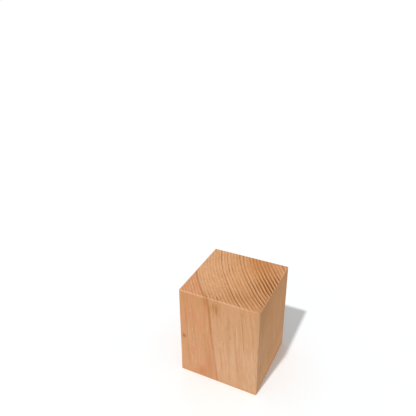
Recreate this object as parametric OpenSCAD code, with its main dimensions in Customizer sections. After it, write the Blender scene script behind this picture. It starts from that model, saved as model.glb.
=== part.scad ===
// Solid wood block: an offcut of a square-sawn post, cross-cut at both ends.
// Frame: origin at the middle of the underside, +Z up along the grain,
// front face towards -Y. Millimetres.
// The growth rings stand in low relief on the upper end grain. They are arcs about
// the pith, which lay behind and to the right of this piece of the trunk.

/* [Block] */
// Width across the front face
block_w = 90; // [50:1:160]
// Depth from the front face to the back face
block_d = 90; // [50:1:160]
// Height along the grain
block_h = 110; // [30:1:240]

/* [Edges] */
// Radius of the four upright arrises, eased by the plane
arris_r = 1; // [0.4:0.1:4]
// Radius of the edges round the upper end, rubbed down after the saw
top_edge_r = 0.8; // [0.4:0.1:4]
// Radius of the edges round the underside, left crisp
foot_edge_r = 0.5; // [0.4:0.1:4]

/* [Growth rings] */
// Distance of the pith to the right of the middle
pith_x = 198; // [120:1:320]
// Distance of the pith behind the middle
pith_y = 138; // [90:1:260]
// Distance between rings at the corner nearest the pith
ring_pitch_near = 4; // [2.2:0.1:6]
// Distance between rings at the corner farthest from the pith
ring_pitch_far = 3; // [2.2:0.1:6]
// Width of the worn earlywood hollow in each ring
hollow_w = 1.5; // [0.6:0.1:1.6]
// Depth of the hollow below the hard latewood
hollow_depth = 0.2; // [0.1:0.05:0.3]

/* [Hidden] */

wood_colour = [0.83, 0.62, 0.46];

// Facets of a full turn: many on the wide rings, fewer on the small edges
ring_facets = 720;
edge_facets = 48;

// How far a cutting profile runs past the faces that it cuts
overrun = 5;
hollow_lift = hollow_depth / 4;

// Plan distances of the nearest and farthest corners from the pith
pith_near = norm([pith_x - block_w / 2, pith_y - block_d / 2]);
pith_far = norm([pith_x + block_w / 2, pith_y + block_d / 2]);
ring_band = pith_far - pith_near;
ring_count = round(2 * ring_band / (ring_pitch_near + ring_pitch_far));

// Share of the band that the rings would cross if their first pitch never changed
first_share = 2 * ring_pitch_near / (ring_pitch_near + ring_pitch_far);

// Radius of a ring, counted out from the pith: the pitch changes evenly from near to far
function ring_radius(i) =
    let (t = i / ring_count)
    pith_near + ring_band * (first_share * t + (1 - first_share) * t * t);

// Rectangle centred on X that stands on the X axis, with rounded corners
module eased_rect(w, h, r_low, r_high) {
    translate([-w / 2, r_low])
        square([w, h - r_low - r_high]);
    translate([-w / 2 + r_low, 0])
        square([w - 2 * r_low, h - r_high]);
    translate([-w / 2 + r_high, r_low])
        square([w - 2 * r_high, h - r_low]);
    for (side = [-1, 1]) {
        translate([side * (w / 2 - r_low), r_low])
            circle(r = r_low, $fn = edge_facets);
        translate([side * (w / 2 - r_high), h - r_high])
            circle(r = r_high, $fn = edge_facets);
    }
}

// Sawn stock with every edge eased: three prisms, each rounding the edges along its own length
module sawn_stock() {
    intersection() {
        translate([0, -block_d / 2, -overrun])
            linear_extrude(height = block_h + 2 * overrun)
                eased_rect(block_w, block_d, arris_r, arris_r);
        rotate([90, 0, 0])
            linear_extrude(height = block_d + 2 * overrun, center = true)
                eased_rect(block_w, block_h, foot_edge_r, top_edge_r);
        rotate([90, 0, 90])
            linear_extrude(height = block_w + 2 * overrun, center = true)
                eased_rect(block_d, block_h, foot_edge_r, top_edge_r);
    }
}

// One worn hollow: it drops sharply outside the last ring's latewood, then rises to its own
module ring_hollow(r) {
    rotate_extrude($fn = ring_facets)
        polygon([
            [r, block_h + hollow_lift],
            [r, block_h - hollow_depth],
            [r + hollow_w * (1 + hollow_lift / hollow_depth), block_h + hollow_lift]
        ]);
}

module block() {
    color(wood_colour)
        difference() {
            sawn_stock();
            translate([pith_x, pith_y, 0])
                for (i = [1 : ring_count - 1])
                    ring_hollow(ring_radius(i));
        }
}

block();
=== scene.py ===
"""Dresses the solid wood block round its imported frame: the sawn timber, its bare finish and the studio."""

import logging
import math
from collections.abc import Iterable
from dataclasses import dataclass
from enum import Enum
from typing import Union

import bmesh
import bpy
from mathutils import Color, Matrix, Vector


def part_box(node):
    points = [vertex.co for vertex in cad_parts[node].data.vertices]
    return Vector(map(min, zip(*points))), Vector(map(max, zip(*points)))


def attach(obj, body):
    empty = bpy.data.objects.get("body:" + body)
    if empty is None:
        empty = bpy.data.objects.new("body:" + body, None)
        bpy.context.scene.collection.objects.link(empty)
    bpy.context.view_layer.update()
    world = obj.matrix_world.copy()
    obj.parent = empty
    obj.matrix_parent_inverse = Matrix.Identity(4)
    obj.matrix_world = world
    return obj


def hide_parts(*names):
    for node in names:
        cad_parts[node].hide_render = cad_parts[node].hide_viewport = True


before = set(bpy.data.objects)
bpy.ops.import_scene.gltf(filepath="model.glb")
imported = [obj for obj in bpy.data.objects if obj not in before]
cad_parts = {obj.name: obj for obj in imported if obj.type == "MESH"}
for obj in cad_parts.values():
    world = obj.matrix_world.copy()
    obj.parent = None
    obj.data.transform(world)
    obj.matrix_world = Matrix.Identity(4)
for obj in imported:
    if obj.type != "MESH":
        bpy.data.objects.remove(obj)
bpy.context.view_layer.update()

log = logging.getLogger("wood_block")

MM = 0.001
NODE = "block"
BODY = "root"

# The middle of what runs from 0 to 1, such as a noise or a ring's year
MIDDLE = 0.5
# A quarter turn, the corners of a four-sided face and a screen's brightest level
QUARTER = math.pi / 2
QUAD = 4
BRIGHTEST = 255

Socket = bpy.types.NodeSocket


@dataclass(frozen=True)
class Rise:
    """A smooth change from one level to another, while a number passes through a range."""

    low: "Number"
    high: "Number"
    start: float = 0.0
    end: float = 1.0


class Wire:
    """A number that a shader works out at each point, written with ordinary arithmetic."""

    def __init__(self, tree: bpy.types.NodeTree, socket: Socket) -> None:
        """Keep the tree that the number lives in and the socket that gives it."""
        self.tree = tree
        self.socket = socket

    def made(self, operation: str, *values: "Number") -> "Wire":
        """Make one math node.

        Args:
            operation: The node's operation, in Blender's own word for it.
            values: What goes into its inputs, in order.

        Returns:
            The node's result.
        """
        node = self.tree.nodes.new("ShaderNodeMath")
        node.operation = operation
        for entry, value in zip(node.inputs, values):
            plug(value, entry)
        return Wire(self.tree, node.outputs[0])

    def __add__(self, other: "Number") -> "Wire":
        """Sum with another number."""
        return self.made("ADD", self, other)

    __radd__ = __add__

    def __sub__(self, other: "Number") -> "Wire":
        """Difference from another number."""
        return self.made("SUBTRACT", self, other)

    def __rsub__(self, other: float) -> "Wire":
        """Difference from a plain number on the left."""
        return self.made("SUBTRACT", other, self)

    def __mul__(self, other: "Number") -> "Wire":
        """Product with another number."""
        return self.made("MULTIPLY", self, other)

    __rmul__ = __mul__

    def __truediv__(self, other: "Number") -> "Wire":
        """Quotient by another number."""
        return self.made("DIVIDE", self, other)

    def size(self) -> "Wire":
        """The number without its sign."""
        return self.made("ABSOLUTE", self)

    def whole(self) -> "Wire":
        """The whole number at or below this one."""
        return self.made("FLOOR", self)

    def lesser(self, other: "Number") -> "Wire":
        """The smaller of two numbers."""
        return self.made("MINIMUM", self, other)

    def greater(self, other: "Number") -> "Wire":
        """The larger of two numbers."""
        return self.made("MAXIMUM", self, other)

    def eased(self, rise: Rise) -> "Wire":
        """Ease from one level to another as this number passes through a range.

        Args:
            rise: The range and the two levels.

        Returns:
            The eased level.
        """
        node = self.tree.nodes.new("ShaderNodeMapRange")
        node.interpolation_type = "SMOOTHSTEP"
        plug(self, node.inputs["Value"])
        plug(rise.low, node.inputs["From Min"])
        plug(rise.high, node.inputs["From Max"])
        plug(rise.start, node.inputs["To Min"])
        plug(rise.end, node.inputs["To Max"])
        return Wire(self.tree, node.outputs["Result"])


Number = Union[float, Wire]
Colour = tuple[float, float, float, float]
Paint = Union[Socket, Colour]
Place = tuple[Number, Number, Number]


def plug(value: Number, entry: Socket) -> None:
    """Give a node's input a number, linked or plain.

    Args:
        value: A number worked out by the shader, or a plain one.
        entry: The input.
    """
    if isinstance(value, Wire):
        value.tree.links.new(value.socket, entry)
    else:
        entry.default_value = value


def put(name: str, data: bpy.types.ID) -> bpy.types.Object:
    """Make an object and put it into the scene.

    Args:
        name: The object's name.
        data: Its mesh, lamp or camera.

    Returns:
        The object.
    """
    made = bpy.data.objects.new(name, data)
    bpy.context.scene.collection.objects.link(made)
    return made


def sine(value: Number) -> Number:
    """Sine of an angle in radians, of a plain number or of one in a shader."""
    return value.made("SINE", value) if isinstance(value, Wire) else math.sin(value)


def root(value: Number) -> Number:
    """Square root of a plain number or of one in a shader."""
    return value.made("SQRT", value) if isinstance(value, Wire) else math.sqrt(value)


def mm(*lengths: float) -> tuple[float, ...]:
    """Lengths given in millimetres, in metres."""
    return tuple(length * MM for length in lengths)


def linear(*levels: int) -> Colour:
    """Turn a colour as seen on a screen, red, green and blue, into the linear light that shaders take."""
    seen = Color([level / BRIGHTEST for level in levels])
    return (*seen.from_srgb_to_scene_linear(), 1.0)


class Cut(Enum):
    """How a face lies to the grain."""

    END = "end grain"
    SIDE = "side grain"


class Part(Enum):
    """A face, an edge or a corner of the block, by the way that it faces along each axis."""

    FRONT = (0, -1, 0)
    RIGHT = (1, 0, 0)
    TOP = (0, 0, 1)
    TOP_FRONT_EDGE = (0, -1, 1)
    TOP_RIGHT_EDGE = (1, 0, 1)
    RIGHT_ARRIS = (1, -1, 0)
    LEFT_ARRIS = (-1, -1, 0)
    RIGHT_CORNER = (1, -1, 1)
    LEFT_CORNER = (-1, -1, 1)

    def pick(self, free: Iterable[float], low: Iterable[float], high: Iterable[float]) -> Vector:
        """Choose a number for each axis.

        Args:
            free: The numbers for the axes that the part lies along, in order.
            low: The number of each axis for a part that faces down it.
            high: The number of each axis for a part that faces up it.

        Returns:
            The three numbers.
        """
        left = iter(free)
        picked = []
        for way, bottom, top in zip(self.value, low, high):
            if way == 0:
                picked.append(next(left))
            else:
                picked.append(top if way > 0 else bottom)
        return Vector(picked)


@dataclass(frozen=True)
class Wander:
    """One slow wave through the timber, which bends the rings off circles and the sides off planes."""

    # Its direction and length, how high it is and the angle that it starts at
    run: tuple[float, float, float]
    length: float
    height: float
    start: float

    def at(self, place: Place) -> Number:
        """Height of the wave at a place, in the wave's own unit."""
        along = sum(part * share for part, share in zip(place, self.run))
        return self.height * sine(along * (math.tau / self.length) + self.start)


@dataclass(frozen=True)
class GrowthRings:
    """The rings of the trunk, as arcs about a pith outside the block. Lengths are in metres."""

    block_height: float
    pith_near: float
    pith_far: float
    pith_x: float = 198 * MM
    pith_y: float = 138 * MM
    pitch_near: float = 4.0 * MM
    pitch_far: float = 3.0 * MM
    hollow_width: float = 1.5 * MM
    hollow_depth: float = 0.2 * MM
    # The trunk widens downwards, so each ring leans out by this much for each metre below the top
    lean_near: float = 0.05
    lean_far: float = 0.09
    wanders: tuple[Wander, ...] = (
        Wander((0.58, -0.81, 0.0), 62 * MM, 0.30 * MM, 0.4),
        Wander((0.71, -0.68, 0.2), 23 * MM, 0.10 * MM, 2.1),
        Wander((0.35, -0.40, 0.85), 95 * MM, 0.35 * MM, 1.0),
        Wander((0.20, 0.10, 0.97), 48 * MM, 0.10 * MM, 4.0),
    )

    @property
    def pith(self) -> Vector:
        """Place of the pith in plan."""
        return Vector((self.pith_x, self.pith_y))

    @property
    def band(self) -> float:
        """Width of the band of rings that the block takes in."""
        return self.pith_far - self.pith_near

    @property
    def number(self) -> int:
        """Number of rings between the nearest and the farthest corner."""
        return round(2 * self.band / (self.pitch_near + self.pitch_far))

    @property
    def first_share(self) -> float:
        """Share of the band that the rings would cross if their first pitch never changed."""
        return 2 * self.pitch_near / (self.pitch_near + self.pitch_far)

    def wander(self, place: Place) -> Number:
        """How far the rings are shifted at a place, in towards the pith, in metres."""
        return sum(wave.at(place) for wave in self.wanders)

    def birth_radius(self, place: Place) -> Number:
        """Radius, at the level of the top, of the ring that passes through a place.

        Args:
            place: Metres to the right, to the back and above the underside.

        Returns:
            The ring's radius about the pith, with the trunk's lean and wander taken out.
        """
        right = place[0] - self.pith_x
        back = place[1] - self.pith_y
        radius = root(right * right + back * back)
        share = (radius - self.pith_near) / self.band
        lean = self.lean_near + share * (self.lean_far - self.lean_near)
        return radius + lean * (self.block_height - place[2]) + self.wander(place)

    def count(self, radius: Number) -> Number:
        """Count the rings on the way out to a radius, from the corner nearest the pith. It undoes radius().

        Args:
            radius: The radius about the pith, in metres.

        Returns:
            How many rings lie within it, with the part of the last one.
        """
        # The quadratic formula, for the share of the rings from the share of the band
        first = self.first_share
        bend = 1.0 - first
        inside = first * first + (radius - self.pith_near) * (4 * bend / self.band)
        return (root(inside) - first) * (self.number / (2 * bend))

    def radius(self, count: float) -> float:
        """Radius of a ring, by its number from the nearest corner."""
        share = count / self.number
        return self.pith_near + self.band * share * (self.first_share + (1 - self.first_share) * share)


@dataclass(frozen=True)
class Dent:
    """A small worn or torn place, pressed into the timber."""

    part: Part
    along: tuple[float, ...]
    reach: float
    depth: float
    # The mesh is refined out to this many times the reach
    refined: float = 1.4
    cuts: int = 2

    def press(self, mesh: bmesh.types.BMesh, low: Vector, high: Vector) -> None:
        """Refine the mesh round the place and push it in.

        Args:
            mesh: The block, in metres.
            low: The block's lowest corner.
            high: The block's highest corner.
        """
        centre = self.part.pick(self.along, low, high)
        near = self.refined * self.reach
        close = [e for e in mesh.edges if ((e.verts[0].co + e.verts[1].co) / 2 - centre).length < near]
        bmesh.ops.subdivide_edges(mesh, edges=close, cuts=self.cuts, use_grid_fill=True)
        inward = -Vector(self.part.value).normalized()
        for vert in mesh.verts:
            share = (vert.co - centre).length / self.reach
            if share < 1.0:
                vert.co += inward * self.depth * (1.0 - share * share) ** 2


# The small knot, across the front face and up it
KNOT_AT = mm(-40.5, 50.2)


@dataclass
class SawnBlock:
    """The block itself: end grain with its rings in relief, eased arrises and four sawn sides."""

    low: Vector
    high: Vector
    arris: float = 1.0 * MM
    top_edge: float = 0.8 * MM
    foot_edge: float = 0.5 * MM
    # Half the width of the sharp step at the foot of each ring's latewood
    step: float = 0.06 * MM
    # How a ring's hollow comes up again: its depth, as a share, half way across it
    half_way: float = 0.42
    # The hollows change in depth from ring to ring, by this share and in this rhythm
    uneven: float = 0.2
    rhythm: float = 2.4
    # How far the plane and drying have hollowed the sides at most, in slow waves
    side_hollow: float = 0.12 * MM
    side_waves: tuple[Wander, Wander] = (
        Wander((0.66, -0.66, 0.36), 109 * MM, 1.0, 0.0),
        Wander((0.34, -0.34, 0.88), 125 * MM, 1.0, 0.8),
    )
    # Rows of faces over each eased edge and down the sides, and steps of the spin round the pith
    edge_rows: int = 4
    side_rows: int = 18
    ring_steps: int = 72
    # The spun end grain runs past the block by this much before it is trimmed
    spare_rings: int = 2
    spare_turn: float = math.radians(2)
    # Passes that settle the bend of the rings, and saw cuts that round each corner of the top
    bend_passes: int = 3
    corner_cuts: int = 5
    # How near a saw cut a vertex is taken to lie on it, and how near two vertices become one
    on_cut: float = 0.0001 * MM
    merge: float = 0.02 * MM
    # Edges that turn by more than this are shaded sharp
    crease: float = math.radians(32)
    dents: tuple[Dent, ...] = (
        Dent(Part.RIGHT_CORNER, (), 3.0 * MM, 0.55 * MM),
        Dent(Part.LEFT_CORNER, (), 2.2 * MM, 0.30 * MM),
        Dent(Part.TOP_FRONT_EDGE, mm(-2.0), 1.8 * MM, 0.30 * MM),
        Dent(Part.TOP_FRONT_EDGE, mm(21.0), 1.5 * MM, 0.22 * MM),
        Dent(Part.TOP_RIGHT_EDGE, mm(12.0), 2.2 * MM, 0.28 * MM),
        Dent(Part.RIGHT_ARRIS, mm(62.0), 2.6 * MM, 0.28 * MM),
        Dent(Part.LEFT_ARRIS, mm(18.0), 2.4 * MM, 0.30 * MM),
        Dent(Part.FRONT, KNOT_AT, 1.4 * MM, 0.16 * MM),
    )

    def __post_init__(self) -> None:
        """Read the growth rings' reach from the block's own corners."""
        self.half = (self.high.xy - self.low.xy) / 2
        self.height = self.high.z
        pith = Vector((GrowthRings.pith_x, GrowthRings.pith_y))
        self.rings = GrowthRings(
            block_height=self.height,
            pith_near=(pith - self.half).length,
            pith_far=(pith + self.half).length,
        )

    @property
    def inner(self) -> Vector:
        """Half the size in plan of the core inside the arrises."""
        return self.half - Vector((self.arris, self.arris))

    def build(self) -> bpy.types.Object:
        """Model the block as one closed mesh.

        Returns:
            The new object, linked to the scene.
        """
        mesh = bmesh.new()
        self._spin_rings(mesh)
        self._bend_rings(mesh)
        self._trim(mesh)
        self._wrap(mesh)
        for dent in self.dents:
            dent.press(mesh, self.low, self.high)
        above = [f for f in mesh.faces if f.calc_center_median().z > self.foot_edge]
        many_sided = [f for f in above if len(f.verts) > QUAD]
        bmesh.ops.triangulate(mesh, faces=many_sided, ngon_method="BEAUTY")
        bmesh.ops.recalc_face_normals(mesh, faces=mesh.faces)
        data = bpy.data.meshes.new("sawn_block")
        mesh.to_mesh(data)
        mesh.free()
        data.shade_smooth()
        data.set_sharp_from_angle(angle=self.crease)
        return put("sawn_block", data)

    def _spin_rings(self, mesh: bmesh.types.BMesh) -> None:
        """Spin the section of the rings about the pith: a sharp step down, then a slow rise.

        Args:
            mesh: The empty mesh to fill.
        """
        rings = self.rings
        corners = [Vector((sx * self.half.x, sy * self.half.y)) for sx in (-1, 1) for sy in (-1, 1)]
        turns = [math.atan2(*(corner - rings.pith).yx) % math.tau for corner in corners]
        first = min(turns) - self.spare_turn
        sweep = max(turns) + self.spare_turn - first
        outward = Vector((math.cos(first), math.sin(first)))
        section = []
        for i in range(-self.spare_rings, rings.number + self.spare_rings + 1):
            r = rings.radius(i)
            deep = rings.hollow_depth * (1 - self.uneven + self.uneven * math.sin(self.rhythm * i))
            section += [
                (r - self.step, 0.0),
                (r + self.step, deep),
                (r + rings.hollow_width / 2, self.half_way * deep),
                (r + rings.hollow_width, 0.0),
            ]
        verts = []
        for r, drop in section:
            place = rings.pith + outward * r
            verts.append(mesh.verts.new((place.x, place.y, self.height - drop)))
        edges = [mesh.edges.new(pair) for pair in zip(verts, verts[1:])]
        bmesh.ops.spin(
            mesh,
            geom=verts + edges,
            cent=rings.pith.to_3d(),
            axis=(0, 0, 1),
            angle=sweep,
            steps=self.ring_steps,
            use_merge=False,
        )

    def _bend_rings(self, mesh: bmesh.types.BMesh) -> None:
        """Shift the true circles by the rings' wander, so that the relief follows the figure.

        Args:
            mesh: The spun end grain.
        """
        rings = self.rings
        for vert in mesh.verts:
            offset = vert.co.xy - rings.pith
            outward = offset.normalized()
            place = vert.co.xy.copy()
            for _ in range(self.bend_passes):
                shift = rings.wander((place.x, place.y, self.height))
                place = rings.pith + outward * (offset.length - shift)
            vert.co.xy = place

    def _trim(self, mesh: bmesh.types.BMesh) -> None:
        """Saw the end grain to the flat part of the top, with a little round at each corner.

        Args:
            mesh: The spun end grain.
        """
        inset = self.arris - self.top_edge
        for side, (sx, sy) in enumerate(((1, 1), (-1, 1), (-1, -1), (1, -1))):
            corner = Vector((sx * self.inner.x, sy * self.inner.y, self.height))
            for k in range(self.corner_cuts + 1):
                turn = QUARTER * (side + k / (self.corner_cuts + 1))
                face = Vector((math.cos(turn), math.sin(turn), 0.0))
                bmesh.ops.bisect_plane(
                    mesh,
                    geom=mesh.verts[:] + mesh.edges[:] + mesh.faces[:],
                    dist=self.on_cut,
                    plane_co=corner + face * inset,
                    plane_no=face,
                    clear_outer=True,
                )
        bmesh.ops.remove_doubles(mesh, verts=mesh.verts, dist=self.merge)

    def _rows(self) -> list[tuple[float, float, float]]:
        """Lay out the rows of the sides, from the top's rim down to the underside's.

        Returns:
            For each row, its reach from the core, its height and how much of the rings' relief it keeps.
        """
        shoulder = self.height - self.top_edge
        drop = (shoulder - self.foot_edge) / self.side_rows
        turns = [QUARTER * (k + 1) / self.edge_rows for k in range(self.edge_rows)]
        rows = []
        for turn in turns:
            reach = self.arris - self.top_edge * (1 - math.sin(turn))
            rows.append((reach, shoulder + self.top_edge * math.cos(turn), math.cos(turn)))
        rows += [(self.arris, shoulder - drop * (k + 1), 0.0) for k in range(self.side_rows)]
        for turn in turns:
            reach = self.arris - self.foot_edge * (1 - math.cos(turn))
            rows.append((reach, self.foot_edge * (1 - math.sin(turn)), 0.0))
        return rows

    def _wrap(self, mesh: bmesh.types.BMesh) -> None:
        """Carry the top's rim over its eased edge, down the sides and under the foot, then close it.

        Args:
            mesh: The trimmed end grain.
        """
        rim = [e for e in mesh.edges if e.is_boundary]
        level = self.height
        keep = 1.0
        for reach, z, relief in self._rows():
            made = bmesh.ops.extrude_edge_only(mesh, edges=rim)["geom"]
            fade = relief / keep if keep else 0.0
            for vert in (g for g in made if isinstance(g, bmesh.types.BMVert)):
                core, outward = self._nearest(vert.co)
                dip = (level - vert.co.z) * fade
                place = core + outward * (reach - self._hollow(vert.co, z))
                vert.co = Vector((place.x, place.y, z - dip))
            rim = [g for g in made if isinstance(g, bmesh.types.BMEdge) and g.is_boundary]
            level = z
            keep = relief
        bmesh.ops.edgeloop_fill(mesh, edges=rim)

    def _nearest(self, place: Vector) -> tuple[Vector, Vector]:
        """Find the way out of the block from a point near its side.

        Args:
            place: The point.

        Returns:
            The nearest point of the core inside the arrises, and the way out from it, both in plan.
        """
        inner = self.inner
        core = Vector((max(-inner.x, min(inner.x, place.x)), max(-inner.y, min(inner.y, place.y))))
        return core, (place.xy - core).normalized()

    def _hollow(self, place: Vector, z: float) -> float:
        """How far the plane and drying have left a side below its true plane.

        Args:
            place: A point in plan, near the side.
            z: The height, in metres.

        Returns:
            The depth, in metres: nothing at the two ends.
        """
        wave = math.prod(wave.at((place.x, place.y, z)) for wave in self.side_waves)
        middle = math.sin(math.pi * min(1.0, max(0.0, z / self.height)))
        return self.side_hollow * middle * (1.0 + wave) / 2

    def dress(self, piece: bpy.types.Object, finish: "BareTimber") -> None:
        """Give the block its finish and its place in the frame.

        Args:
            piece: The block's object.
            finish: The timber's finish.
        """
        piece.data.materials.append(finish.material(self))
        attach(piece, BODY)
        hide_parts(NODE)


@dataclass(frozen=True)
class Grain:
    """Soft noise in the timber. It is drawn out round the rings and along the grain."""

    # Cells to the metre across the rings, octaves, and the strength of the finer octaves
    scale: float
    detail: float
    rough: float = 0.55
    # Shares of the scale round the rings and along the grain
    around: float = 1.0
    along: float = 1.0


@dataclass(frozen=True)
class TimberGrains:
    """Every grain in the timber, from the coarsest change of tone to the finest resin lines."""

    cloud: Grain = Grain(34, 2)
    flame: Grain = Grain(110, 3, along=0.4)
    fade: Grain = Grain(130, 2, around=0.3, along=0.15)
    tremor: Grain = Grain(150, 3, along=0.15)
    band: Grain = Grain(260, 3, 0.6, along=0.045)
    worn: Grain = Grain(550, 2, 0.6, around=0.4)
    streak: Grain = Grain(900, 4, 0.65, along=0.02)
    speck: Grain = Grain(1500, 3, 0.6)
    fibre: Grain = Grain(2800, 3, 0.65, along=0.02)
    resin: Grain = Grain(3600, 1, 0.5, along=0.03)


@dataclass(frozen=True)
class RingFigure:
    """How each ring shows. A year runs from 0 to 1, and places round the rings run to the back left."""

    # The rings' unsteady line, and how they bend round a knot, by distance in spreads of the knot
    tremor: float = 0.5 * MM
    knot_bend: Rise = Rise(0.0, 5.0, 2.4 * MM, 0.0)
    # When in its year the latewood begins, how much that changes from ring to ring, and with the radius
    latewood_from: float = 0.10
    latewood_varies: float = 0.33
    latewood_later: Rise = Rise(218 * MM, 236 * MM, 0.0, 0.2)
    latewood_full: float = 0.86
    latewood_ends: Rise = Rise(0.95, 1.0, 1.0, 0.0)
    # A faint second line inside some years
    second_line: float = 0.38
    second_width: Rise = Rise(0.02, 0.14, 1.0, 0.0)
    second_chance: Rise = Rise(0.4, 0.7, 0.0, 0.4)
    second_seed: float = 0.71
    # Where the lines fade: in patches, which spare the darkest rings, and towards the back
    patches: Rise = Rise(0.38, 0.60, 0.36, 1.0)
    patches_spare: float = 0.75
    weaker: Rise = Rise(-30 * MM, 22 * MM, 1.0, 0.6)
    stronger: Rise = Rise(25 * MM, 40 * MM, 0.0, 0.25)
    # The pale first wood of the year, and how much of it shows beside the faintest line
    young_from: Rise = Rise(0.0, 0.06)
    young_to: Rise = Rise(0.12, 0.45, 1.0, 0.0)
    young_least: float = 0.2
    # How the tones drift off their rings round the trunk, and stray in bands on the sides and in clouds
    drift: Rise = Rise(-38 * MM, -12 * MM, -1.4 * MM, 2.3 * MM)
    band_stray: float = 6 * MM
    cloud_stray: float = 3 * MM
    # Near the front right arris the fibres lean round the trunk, by this much for each metre below the top
    fibre_lean: Rise = Rise(-62 * MM, -45 * MM, 0.11, 0.0)
    # How the lines show on the sides: in bands, and less near the pith
    side_bands: Rise = Rise(0.35, 0.65, 0.15, 0.5)
    side_near_pith: Rise = Rise(220 * MM, 245 * MM, 0.45, 1.0)


@dataclass(frozen=True)
class Tone:
    """The earlywood's colour at one radius from the pith."""

    radius: float
    colour: Colour


@dataclass(frozen=True)
class Seasons:
    """A run of rings whose latewood is equally dark. Rings count out from the corner nearest the pith."""

    first: int
    depth: float


@dataclass(frozen=True)
class Layer:
    """A colour that comes up as a pattern goes from its bare level to its full one."""

    bare: float
    full: float
    share: float
    tone: Colour


@dataclass(frozen=True)
class OuterWood:
    """The pinker outer wood, and the dark line along its inner boundary."""

    radius: float = 279.6 * MM
    flush: Rise = Rise(277 * MM, 283 * MM)
    line: Colour = linear(150, 90, 40)
    # Half the width of the line's core and of its fringe, and how much wider the fringe is on the end grain
    core: float = 0.3 * MM
    fringe: float = 1.2 * MM
    fringe_on_end: float = 0.8 * MM
    # How much of the line shows: on the end grain, and on the sides by height and by streak
    share_on_end: float = 0.42
    by_height: Rise = Rise(30 * MM, 90 * MM, 0.32, 0.55)
    by_streak: Rise = Rise(0.3, 0.6, 0.6, 1.0)
    tan_flame: Layer = Layer(0.45, 0.62, 0.65, linear(206, 156, 114))
    pink_flame: Layer = Layer(0.50, 0.38, 0.60, linear(210, 145, 113))


@dataclass(frozen=True)
class Outline:
    """How a mark's colour ends: how ragged it is, and between which shares of its spread it goes."""

    ragged: float
    inner: float
    outer: float


class MarkKind(Enum):
    """What a mark is, with its outline: a knot, a fleck, a stain, an even fade of painted light and shade,
    or a patch of latewood.
    """

    KNOT = Outline(1.2, 0.35, 1.15)
    FLECK = Outline(2.2, 0.2, 1.0)
    STAIN = Outline(3.2, 0.0, 1.2)
    # Painted light and painted shade, laid as even fades
    PAINTED_LIGHT_AND_SHADE = Outline(0.9, 0.0, 1.2)
    BRUISE = Outline(1.5, 0.1, 1.1)


@dataclass(frozen=True)
class Mark:
    """A small place with a colour of its own, placed and measured along one part of the block."""

    kind: MarkKind
    part: Part
    at: tuple[float, ...]
    spread: tuple[float, ...]
    tone: Colour
    strength: float
    # How deep it goes into the timber
    deep: float = 4 * MM


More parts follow.
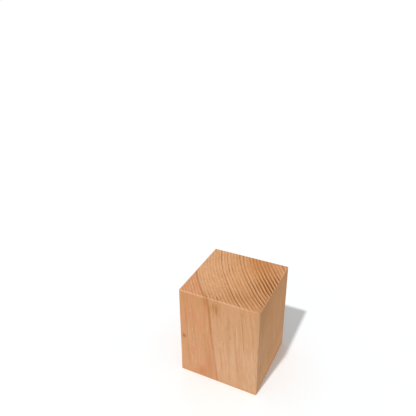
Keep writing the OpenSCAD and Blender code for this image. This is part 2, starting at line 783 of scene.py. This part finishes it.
@dataclass(frozen=True)
class BareTimber:
    """Sawn and sanded bare timber: rings, fibres, worn arrises that also paint a highlight, a few marks,
    painted shade up the sides and painted bounce light at the foot.
    """

    grains: TimberGrains = TimberGrains()
    figure: RingFigure = RingFigure()
    outer: OuterWood = OuterWood()
    end_tones: tuple[Tone, ...] = (
        Tone(176 * MM, linear(214, 155, 108)),
        Tone(192 * MM, linear(210, 150, 102)),
        Tone(199 * MM, linear(200, 136, 84)),
        Tone(209 * MM, linear(204, 141, 86)),
        Tone(217 * MM, linear(209, 147, 94)),
        Tone(225 * MM, linear(216, 158, 109)),
        Tone(253 * MM, linear(219, 166, 121)),
        Tone(278 * MM, linear(222, 170, 126)),
        Tone(281 * MM, linear(221, 158, 116)),
        Tone(306 * MM, linear(219, 157, 115)),
    )
    side_tones: tuple[Tone, ...] = (
        Tone(176 * MM, linear(208, 159, 116)),
        Tone(225 * MM, linear(208, 160, 117)),
        Tone(240 * MM, linear(208, 163, 126)),
        Tone(252 * MM, linear(212, 168, 131)),
        Tone(278 * MM, linear(213, 167, 130)),
        Tone(281 * MM, linear(214, 157, 118)),
        Tone(306 * MM, linear(214, 159, 121)),
        Tone(322 * MM, linear(211, 158, 116)),
    )
    seasons: tuple[Seasons, ...] = (
        Seasons(0, 0.62),
        Seasons(1, 0.95),
        Seasons(2, 0.66),
        Seasons(4, 0.74),
        Seasons(7, 0.95),
        Seasons(9, 0.80),
        Seasons(10, 0.58),
        Seasons(11, 0.30),
        Seasons(12, 0.70),
        Seasons(13, 0.92),
        Seasons(14, 0.47),
        Seasons(17, 0.75),
        Seasons(18, 0.40),
        Seasons(19, 1.00),
        Seasons(20, 0.36),
        Seasons(24, 0.42),
        Seasons(27, 0.55),
        Seasons(29, 0.50),
        Seasons(33, 0.38),
    )
    end_latewood: Colour = linear(132, 76, 8)
    side_latewood: Colour = linear(164, 108, 54)
    young: Colour = linear(240, 200, 168)
    young_share: float = 0.60
    # The end grain is dimmer towards the front, by the place round the rings
    dimmed: Layer = Layer(0.0, -45 * MM, 0.36, linear(176, 118, 72))
    clouded: Layer = Layer(0.45, 0.75, 0.20, linear(204, 144, 96))
    # The sides, by their bands, streaks, fibres and resin lines
    dark_bands: Layer = Layer(0.48, 0.72, 0.42, linear(194, 136, 86))
    dark_streaks: Layer = Layer(0.50, 0.75, 0.50, linear(188, 130, 78))
    pale_streaks: Layer = Layer(0.46, 0.30, 0.40, linear(240, 200, 168))
    fibres: Layer = Layer(0.50, 0.75, 0.35, linear(234, 196, 162))
    resin: Layer = Layer(0.66, 0.74, 0.45, linear(158, 104, 62))
    # The end grain, by its pores and its worn places
    pores: Layer = Layer(0.50, 0.75, 0.45, linear(150, 94, 50))
    grimy: Layer = Layer(0.48, 0.70, 0.30, linear(178, 122, 76))
    scuffed: Layer = Layer(0.47, 0.30, 0.40, linear(232, 184, 142))
    # The sides by height, darker towards the top as painted shade, the foot by height, and the edges by
    # distance, with a ragged border
    painted_shade_upward: Layer = Layer(30 * MM, 112 * MM, 0.29, linear(190, 126, 60))
    # Painted bounce light: warmer and paler towards the foot of every face
    foot: Layer = Layer(5 * MM, 0.8 * MM, 0.40, linear(218, 150, 90))
    # Worn edges, paler near every arris, which also paint the highlight that the eased arrises catch
    rubbed_and_highlit: Layer = Layer(1.2 * MM, 0.25 * MM, 0.65, linear(230, 187, 148))
    rubbed_and_highlit_border: float = 0.8 * MM
    # The marks, at places and with spreads along the axes that their part lies along
    marks: tuple[Mark, ...] = (
        Mark(MarkKind.STAIN, Part.FRONT, mm(-41, 47), mm(4, 10), linear(202, 154, 98), 0.55),
        Mark(MarkKind.KNOT, Part.FRONT, KNOT_AT, mm(2.5, 3.2), linear(148, 102, 64), 0.66),
        Mark(MarkKind.STAIN, Part.FRONT, mm(-14, 106), mm(5, 14), linear(180, 116, 72), 0.54),
        Mark(MarkKind.STAIN, Part.FRONT, mm(-3, 100), mm(6.5, 13), linear(178, 120, 70), 0.52),
        Mark(MarkKind.FLECK, Part.FRONT, mm(-1.6, 98), mm(1.7, 8), linear(160, 104, 54), 0.46),
        Mark(MarkKind.FLECK, Part.FRONT, mm(-5, 101), mm(1.4, 6), linear(164, 110, 60), 0.48),
        Mark(MarkKind.FLECK, Part.FRONT, mm(-9.8, 96), mm(1.3, 10), linear(164, 110, 60), 0.50),
        Mark(MarkKind.STAIN, Part.FRONT, mm(-9, 22), mm(7, 30), linear(192, 130, 88), 0.55),
        Mark(MarkKind.STAIN, Part.FRONT, mm(-19, 8), mm(8, 9), linear(188, 130, 78), 0.55),
        Mark(MarkKind.FLECK, Part.FRONT, mm(14.2, 68.1), mm(0.8, 3.2), linear(164, 110, 66), 0.70),
        Mark(MarkKind.FLECK, Part.FRONT, mm(6.8, 56.9), mm(0.8, 2.8), linear(166, 114, 70), 0.65),
        Mark(MarkKind.FLECK, Part.FRONT, mm(27, 102), mm(0.9, 3), linear(168, 110, 60), 0.60),
        Mark(MarkKind.BRUISE, Part.TOP, mm(-3, -41), mm(9, 4), linear(138, 94, 46), 0.72),
        Mark(MarkKind.BRUISE, Part.TOP, mm(40, -2), mm(24, 22), linear(112, 62, 24), 0.75),
        Mark(MarkKind.BRUISE, Part.TOP, mm(24, -30), mm(24, 14), linear(132, 78, 34), 0.50),
        Mark(MarkKind.BRUISE, Part.TOP, mm(-11, 11.5), mm(4, 6), linear(146, 82, 48), 0.70),
        Mark(MarkKind.STAIN, Part.TOP, mm(14, 34), mm(16, 15), linear(190, 128, 76), 0.38),
        Mark(MarkKind.STAIN, Part.TOP, mm(20, -28), mm(20, 15), linear(186, 122, 76), 0.24),
        Mark(MarkKind.STAIN, Part.TOP_FRONT_EDGE, mm(38), mm(10), linear(204, 148, 104), 0.75),
        # Painted bounce light: a pale orange glow along the foot of the right face
        Mark(MarkKind.PAINTED_LIGHT_AND_SHADE, Part.RIGHT, mm(26, 2), mm(80, 24), linear(244, 182, 130), 0.62),
        # Painted shade: the right face darker towards its top front
        Mark(MarkKind.PAINTED_LIGHT_AND_SHADE, Part.RIGHT, mm(-36, 108), mm(40, 42), linear(156, 116, 76), 0.28),
    )
    # Matt earlywood, which streaks make uneven, and latewood that takes a little more polish
    gloss: float = 0.06
    matt: float = 0.84
    streaks_matt: float = 0.12
    latewood_polish: float = 0.08
    # Height of the raised fibres, streaks and latewood, as shares of the bump
    bump_depth: float = 0.12 * MM
    bump_strength: float = 0.35
    fibre_height: float = 0.7
    streak_height: float = 0.5
    latewood_height: float = 0.35

    def tones(self, cut: Cut) -> tuple[Tone, ...]:
        """Earlywood colours by radius for one kind of face."""
        return self.end_tones if cut is Cut.END else self.side_tones

    def latewood(self, cut: Cut) -> Colour:
        """Colour of the darkest latewood on one kind of face."""
        return self.end_latewood if cut is Cut.END else self.side_latewood

    def material(self, block: SawnBlock) -> bpy.types.Material:
        """Make the node material.

        Args:
            block: The block, whose rings and sizes the figure follows.

        Returns:
            The finished material.
        """
        made = bpy.data.materials.new("bare_timber")
        made.use_nodes = True
        tree = made.node_tree
        shader = tree.nodes["Principled BSDF"]
        shader.inputs["Specular IOR Level"].default_value = self.gloss
        sketch = TimberNodes(tree, block, self)
        tree.links.new(sketch.colour(), shader.inputs["Base Color"])
        plug(sketch.roughness(), shader.inputs["Roughness"])
        tree.links.new(sketch.bump(), shader.inputs["Normal"])
        return made


class TimberNodes:
    """The shader's working: places in the block, the ring figure, the fibres and the wear."""

    def __init__(self, tree: bpy.types.NodeTree, block: SawnBlock, finish: BareTimber) -> None:
        """Lay out what every layer reads: the point, the kind of face, the rings and the fibres.

        Args:
            tree: The material's node tree.
            block: The block, whose rings and sizes the figure follows.
            finish: The timber's finish.
        """
        self.tree = tree
        self.block = block
        self.finish = finish
        parts = tree.nodes.new("ShaderNodeSeparateXYZ")
        tree.links.new(tree.nodes.new("ShaderNodeTexCoord").outputs["Object"], parts.inputs[0])
        self.x, self.y, self.z = (Wire(tree, out) for out in parts.outputs)
        crown = (block.height - self.z).eased(Rise(block.top_edge / 2, block.top_edge, 1.0, 0.0))
        sole = self.z.eased(Rise(block.foot_edge / 2, block.foot_edge, 1.0, 0.0))
        self.end = crown + sole
        self.side = 1.0 - self.end
        self.speck = self._noise(finish.grains.speck, self.x, self.y)
        self.cloud = self._noise(finish.grains.cloud, self.x, self.y)
        self.away = {mark: self._distance(mark) for mark in finish.marks}
        self._grow(block.rings, finish.figure)
        self._comb(finish.grains, finish.figure)

    def _noise(self, grain: Grain, across: Wire, around: Wire) -> Wire:
        """Soft noise about a half.

        Args:
            grain: How coarse it is, and how it is drawn out.
            across: The place across the rings.
            around: The place round the rings.

        Returns:
            A number from about 0 to 1.
        """
        place = self.tree.nodes.new("ShaderNodeCombineXYZ")
        for entry, value in zip(place.inputs, (across, around * grain.around, self.z * grain.along)):
            plug(value, entry)
        node = self.tree.nodes.new("ShaderNodeTexNoise")
        node.inputs["Scale"].default_value = grain.scale
        node.inputs["Detail"].default_value = grain.detail
        node.inputs["Roughness"].default_value = grain.rough
        self.tree.links.new(place.outputs[0], node.inputs["Vector"])
        return Wire(self.tree, node.outputs[0])

    def _chance(self, number: Wire) -> Wire:
        """Draw an even chance that belongs to a number.

        Args:
            number: The number, such as a ring's.

        Returns:
            The chance, from 0 to 1.
        """
        node = self.tree.nodes.new("ShaderNodeTexWhiteNoise")
        node.noise_dimensions = "1D"
        plug(number, node.inputs["W"])
        return Wire(self.tree, node.outputs["Value"])

    def _grow(self, rings: GrowthRings, figure: RingFigure) -> None:
        """Work out the ring at each point and how far through its year the wood has grown.

        Args:
            rings: The block's growth rings.
            figure: How each ring shows.
        """
        grains = self.finish.grains
        tremor = (self._noise(grains.tremor, self.x, self.y) - MIDDLE) * figure.tremor
        radius = rings.birth_radius((self.x, self.y, self.z)) + tremor
        for mark, away in self.away.items():
            if mark.kind is MarkKind.KNOT:
                radius = radius - away.eased(figure.knot_bend)
        self.radius = radius
        toward = rings.pith.normalized()
        self.around = self.y * toward.x - self.x * toward.y
        self.drift = self.around.eased(figure.drift)
        count = rings.count(radius)
        ring = count.whole()
        year = count - ring
        start = figure.latewood_from + figure.latewood_varies * self._chance(ring)
        start = start + radius.eased(figure.latewood_later)
        self.hard = year.eased(Rise(start, figure.latewood_full)) * year.eased(figure.latewood_ends)
        second = (year - figure.second_line).size().eased(figure.second_width)
        second = second * self._chance(ring + figure.second_seed).eased(figure.second_chance)
        depth = self._depth(ring, rings.number)
        fade = self._noise(grains.fade, radius, self.around).eased(figure.patches)
        fade = fade + (1.0 - fade) * depth * depth * figure.patches_spare
        shown = depth * fade * (self.around.eased(figure.weaker) + self.around.eased(figure.stronger))
        self.line = (self.hard + second).lesser(1.0) * shown
        beside = shown * (1.0 - figure.young_least) + figure.young_least
        self.young = year.eased(figure.young_from) * year.eased(figure.young_to) * beside

    def _depth(self, ring: Wire, number: int) -> Wire:
        """How dark the latewood of a ring is.

        Args:
            ring: The ring's number.
            number: How many rings there are.

        Returns:
            The depth, from 0 to 1.
        """
        stops = [(run.first / number, (run.depth, run.depth, run.depth, 1.0)) for run in self.finish.seasons]
        node = self._ramp(stops, (ring + MIDDLE) / number)
        node.color_ramp.interpolation = "CONSTANT"
        return Wire(self.tree, node.outputs["Color"])

    def _comb(self, grains: TimberGrains, figure: RingFigure) -> None:
        """Draw out bands, streaks, fibres and resin lines along the grain, and let the tones follow them.

        Args:
            grains: The timber's grains.
            figure: How each ring shows.
        """
        leant = self.around + self.around.eased(figure.fibre_lean) * (self.block.height - self.z)
        self.band = self._noise(grains.band, self.radius, leant)
        self.streak = self._noise(grains.streak, self.radius, leant)
        self.fibre = self._noise(grains.fibre, self.radius, leant)
        self.resin = self._noise(grains.resin, self.radius, leant)
        self.worn = self._noise(grains.worn, self.radius, self.around)
        self.flame = self._noise(grains.flame, self.x, self.y)
        stray = (self.band - MIDDLE) * figure.band_stray * self.side
        stray = stray + (self.cloud - MIDDLE) * figure.cloud_stray
        self.mood = self.radius - self.drift + stray

    def _ramp(self, stops: list[tuple[float, Colour]], place: Wire) -> bpy.types.Node:
        """Lay colours out along a line.

        Args:
            stops: Place, from 0 to 1, and colour of each stop, in order.
            place: The place along the line at each point.

        Returns:
            The node.
        """
        node = self.tree.nodes.new("ShaderNodeValToRGB")
        elements = node.color_ramp.elements
        while len(elements) < len(stops):
            elements.new(MIDDLE)
        for element, (position, colour) in zip(elements, stops):
            element.position = position
            element.color = colour
        plug(place, node.inputs["Fac"])
        return node

    def _mix(self, share: Number, below: Socket, above: Paint) -> Socket:
        """Lay one colour over another.

        Args:
            share: How much of the upper one shows.
            below: The lower colour.
            above: The upper colour, from a node or plain.

        Returns:
            The blended colour.
        """
        node = self.tree.nodes.new("ShaderNodeMix")
        node.data_type = "RGBA"
        node.clamp_factor = True
        plug(share, node.inputs["Factor"])
        colour_in = [s for s in node.inputs if s.type == "RGBA"]
        self.tree.links.new(below, colour_in[0])
        if isinstance(above, tuple):
            colour_in[1].default_value = above
        else:
            self.tree.links.new(above, colour_in[1])
        return next(s for s in node.outputs if s.type == "RGBA")

    def _lay(self, layer: Layer, pattern: Wire, where: Number, below: Socket) -> Socket:
        """Lay a colour over the one below as a pattern shows it, times how much of it the place takes."""
        shown = pattern.eased(Rise(layer.bare, layer.full, 0.0, layer.share))
        return self._mix(shown * where, below, layer.tone)

    def _edge(self) -> Wire:
        """Measure how far a point on the surface is from the nearest edge.

        Returns:
            The distance, in metres.
        """
        half = self.block.half
        from_side = (half.x - self.x.size()).greater(0.0)
        from_face = (half.y - self.y.size()).greater(0.0)
        from_end = self.z.lesser(self.block.height - self.z).greater(0.0)
        most = from_side.greater(from_face).greater(from_end)
        return from_side + from_face + from_end - most

    def _distance(self, mark: Mark) -> Wire:
        """Measure how far each point is from the middle of a mark.

        Args:
            mark: The mark.

        Returns:
            The distance, as a share of the mark's spread.
        """
        deep = (mark.deep, mark.deep, mark.deep)
        centre = mark.part.pick(mark.at, self.block.low, self.block.high)
        spread = mark.part.pick(mark.spread, deep, deep)
        parts = zip((self.x, self.y, self.z), centre, spread)
        shares = [(place - middle) / reach for place, middle, reach in parts]
        return root(sum(share * share for share in shares))

    def _mark(self, mark: Mark) -> Wire:
        """Work out where a mark shows, with a ragged outline.

        Args:
            mark: The mark.

        Returns:
            Its share of the colour, from 0 to its strength.
        """
        outline = mark.kind.value
        pattern = {MarkKind.KNOT: self.speck, MarkKind.BRUISE: self.cloud}.get(mark.kind, self.streak)
        away = self.away[mark] + (pattern - MIDDLE) * outline.ragged
        shown = away.eased(Rise(outline.inner, outline.outer, mark.strength, 0.0))
        return shown * self.hard * self.end if mark.kind is MarkKind.BRUISE else shown

    def _figure(self, cut: Cut) -> Socket:
        """Lay out the earlywood and latewood colours of one kind of face.

        Args:
            cut: The kind of face.

        Returns:
            The colour at each point.
        """
        tones = self.finish.tones(cut)
        near = tones[0].radius
        span = tones[-1].radius - near
        stops = [((tone.radius - near) / span, tone.colour) for tone in tones]
        early = self._ramp(stops, (self.mood - near) / span).outputs["Color"]
        shown = self.line
        if cut is Cut.END:
            early = self._lay(self.finish.dimmed, self.around, 1.0, early)
        else:
            figure = self.finish.figure
            shown = shown * self.band.eased(figure.side_bands) * self.radius.eased(figure.side_near_pith)
        return self._mix(shown, early, self.finish.latewood(cut))

    def _boundary(self, outer: OuterWood) -> Wire:
        """Work out where the dark line along the outer wood shows.

        Args:
            outer: The outer wood.

        Returns:
            The line's share of the colour, from 0 to 1.
        """
        away = (self.radius - self.drift - outer.radius).size()
        fringe = outer.fringe + self.end * outer.fringe_on_end
        on_side = self.z.eased(outer.by_height) * self.streak.eased(outer.by_streak) * self.side
        return away.eased(Rise(outer.core, fringe, 1.0, 0.0)) * (on_side + self.end * outer.share_on_end)

    def colour(self) -> Socket:
        """Layer the timber's colours.

        Returns:
            The base colour.
        """
        finish = self.finish
        outer = finish.outer
        made = self._mix(self.end, self._figure(Cut.SIDE), self._figure(Cut.END))
        made = self._mix(self.young * self.end * finish.young_share, made, finish.young)
        flush = self.mood.eased(outer.flush) * self.side
        made = self._lay(outer.tan_flame, self.flame, flush, made)
        made = self._lay(outer.pink_flame, self.flame, flush, made)
        made = self._mix(self._boundary(outer), made, outer.line)
        soft_end = self.end * (1.0 - self.hard)
        from_edge = self._edge() + (self.speck - MIDDLE) * finish.rubbed_and_highlit_border
        for layer, pattern, where in (
            (finish.clouded, self.cloud, 1.0),
            (finish.dark_bands, self.band, self.side),
            (finish.dark_streaks, self.streak, self.side),
            (finish.pale_streaks, self.streak, self.side),
            (finish.fibres, self.fibre, self.side),
            (finish.resin, self.resin, self.side),
            (finish.pores, self.speck, self.end),
            (finish.grimy, self.worn, self.end),
            (finish.scuffed, self.worn, soft_end),
            # Painted shade up the sides, painted bounce light at the foot, and worn edges that also paint a
            # highlight
            (finish.painted_shade_upward, self.z, self.side),
            (finish.foot, self.z, 1.0),
            (finish.rubbed_and_highlit, from_edge, 1.0),
        ):
            made = self._lay(layer, pattern, where, made)
        for mark in finish.marks:
            made = self._mix(self._mark(mark), made, mark.tone)
        return made

    def roughness(self) -> Wire:
        """Work out how matt the timber is.

        Returns:
            The roughness, from 0 to 1.
        """
        finish = self.finish
        streaky = (self.streak - MIDDLE) * finish.streaks_matt
        return finish.matt + streaky - self.hard * finish.latewood_polish

    def bump(self) -> Socket:
        """Raise the fibres on the sides and open their ends on the end grain.

        Returns:
            The bumped normal.
        """
        finish = self.finish
        sides = self.fibre * finish.fibre_height + self.streak * finish.streak_height
        sides = sides + self.hard * finish.latewood_height
        node = self.tree.nodes.new("ShaderNodeBump")
        node.inputs["Strength"].default_value = finish.bump_strength
        node.inputs["Distance"].default_value = finish.bump_depth
        plug(sides * self.side + self.speck * self.end, node.inputs["Height"])
        return node.outputs["Normal"]


@dataclass(frozen=True)
class Studio:
    """A plain pale floor, soft light from the front and the photograph's own camera."""

    # The photograph's width and the focal length, in its pixels, and the sensor's width in millimetres
    photo_side: int = 416
    focal_pixels: float = 463.0
    sensor: float = 36.0
    # The point in the middle of the picture, and the camera's bearing, in degrees, and distance from it
    aim: tuple[float, float, float] = (-198.8 * MM, 334.7 * MM, 0.0)
    azimuth: float = 26.43
    elevation: float = 26.58
    roll: float = -0.485
    distance: float = 895.2 * MM
    # Strength of the even light and of the lamp, and the lamp's height, turn and width in degrees
    sky: float = 0.54
    sun: float = 1.91
    sun_height: float = 57.0
    sun_turn: float = 8.8
    sun_width: float = 2.5
    # The floor as the camera sees it, a touch cool beside the warm wood, and as light bounces off it
    floor_reach: float = 40.0
    floor_seen: tuple[float, float, float] = (0.955, 0.985, 1.0)
    floor_bounce: float = 0.85

    def build(self) -> None:
        """Set up the floor, the light and the camera."""
        self._floor()
        self._sky()
        self._sun()
        self._camera()
        bpy.context.scene.view_settings.view_transform = "Standard"

    def _seen(self, tree: bpy.types.NodeTree) -> Wire:
        """Tell what the camera sees, straight or in a reflection, from the light that bounces.

        Args:
            tree: The node tree of the floor or the sky.

        Returns:
            One for what the camera sees, and nought for the rest.
        """
        path = tree.nodes.new("ShaderNodeLightPath")
        rays = [Wire(tree, path.outputs[f"Is {kind} Ray"]) for kind in ("Camera", "Glossy", "Transmission")]
        return rays[0].greater(rays[1]).greater(rays[2])

    def _floor(self) -> None:
        """A wide pale floor, which looks white and keeps the block's shadow."""
        mesh = bmesh.new()
        bmesh.ops.create_grid(mesh, x_segments=1, y_segments=1, size=self.floor_reach)
        data = bpy.data.meshes.new("floor")
        mesh.to_mesh(data)
        mesh.free()
        floor = put("floor", data)
        made = bpy.data.materials.new("pale_floor")
        made.use_nodes = True
        tree = made.node_tree
        tree.nodes.clear()
        surface = tree.nodes.new("ShaderNodeBsdfDiffuse")
        seen = self._seen(tree)
        pale = tree.nodes.new("ShaderNodeCombineColor")
        for entry, shade in zip(pale.inputs, self.floor_seen):
            plug(self.floor_bounce + seen * (shade - self.floor_bounce), entry)
        tree.links.new(pale.outputs[0], surface.inputs["Color"])
        out = tree.nodes.new("ShaderNodeOutputMaterial")
        tree.links.new(surface.outputs[0], out.inputs["Surface"])
        data.materials.append(made)

    def _sky(self) -> None:
        """Even light from all round, which the camera sees as white."""
        world = bpy.data.worlds.new("studio")
        bpy.context.scene.world = world
        world.use_nodes = True
        tree = world.node_tree
        level = self.sky + self._seen(tree) * (1.0 - self.sky)
        plug(level, tree.nodes["Background"].inputs["Strength"])
        tree.nodes["Background"].inputs["Color"].default_value = (1.0, 1.0, 1.0, 1.0)

    def _sun(self) -> None:
        """One broad lamp from the front, a little to the left and high."""
        lamp = bpy.data.lights.new("key", "SUN")
        lamp.energy = self.sun
        lamp.angle = math.radians(self.sun_width)
        key = put("key", lamp)
        key.rotation_euler = (QUARTER - math.radians(self.sun_height), 0.0, -math.radians(self.sun_turn))

    def _camera(self) -> None:
        """Stand the camera where the photograph was taken from."""
        data = bpy.data.cameras.new("photo_camera")
        data.sensor_width = self.sensor
        data.lens = self.sensor * self.focal_pixels / self.photo_side
        camera = put("photo_camera", data)
        camera.matrix_world = (
            Matrix.Translation(self.aim)
            @ Matrix.Rotation(math.radians(self.azimuth), 4, "Z")
            @ Matrix.Rotation(QUARTER - math.radians(self.elevation), 4, "X")
            @ Matrix.Rotation(math.radians(self.roll), 4, "Z")
            @ Matrix.Translation((0.0, 0.0, self.distance))
        )
        bpy.context.scene.camera = camera


def main() -> None:
    """Build the studio and the block, and report each piece."""
    logging.basicConfig(level=logging.INFO, format="%(name)s: %(message)s")
    Studio().build()
    block = SawnBlock(*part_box(NODE))
    piece = block.build()
    block.dress(piece, BareTimber())
    log.info("%s: %d faces, %d rings", piece.name, len(piece.data.polygons), block.rings.number)


if __name__ == "__main__":
    main()
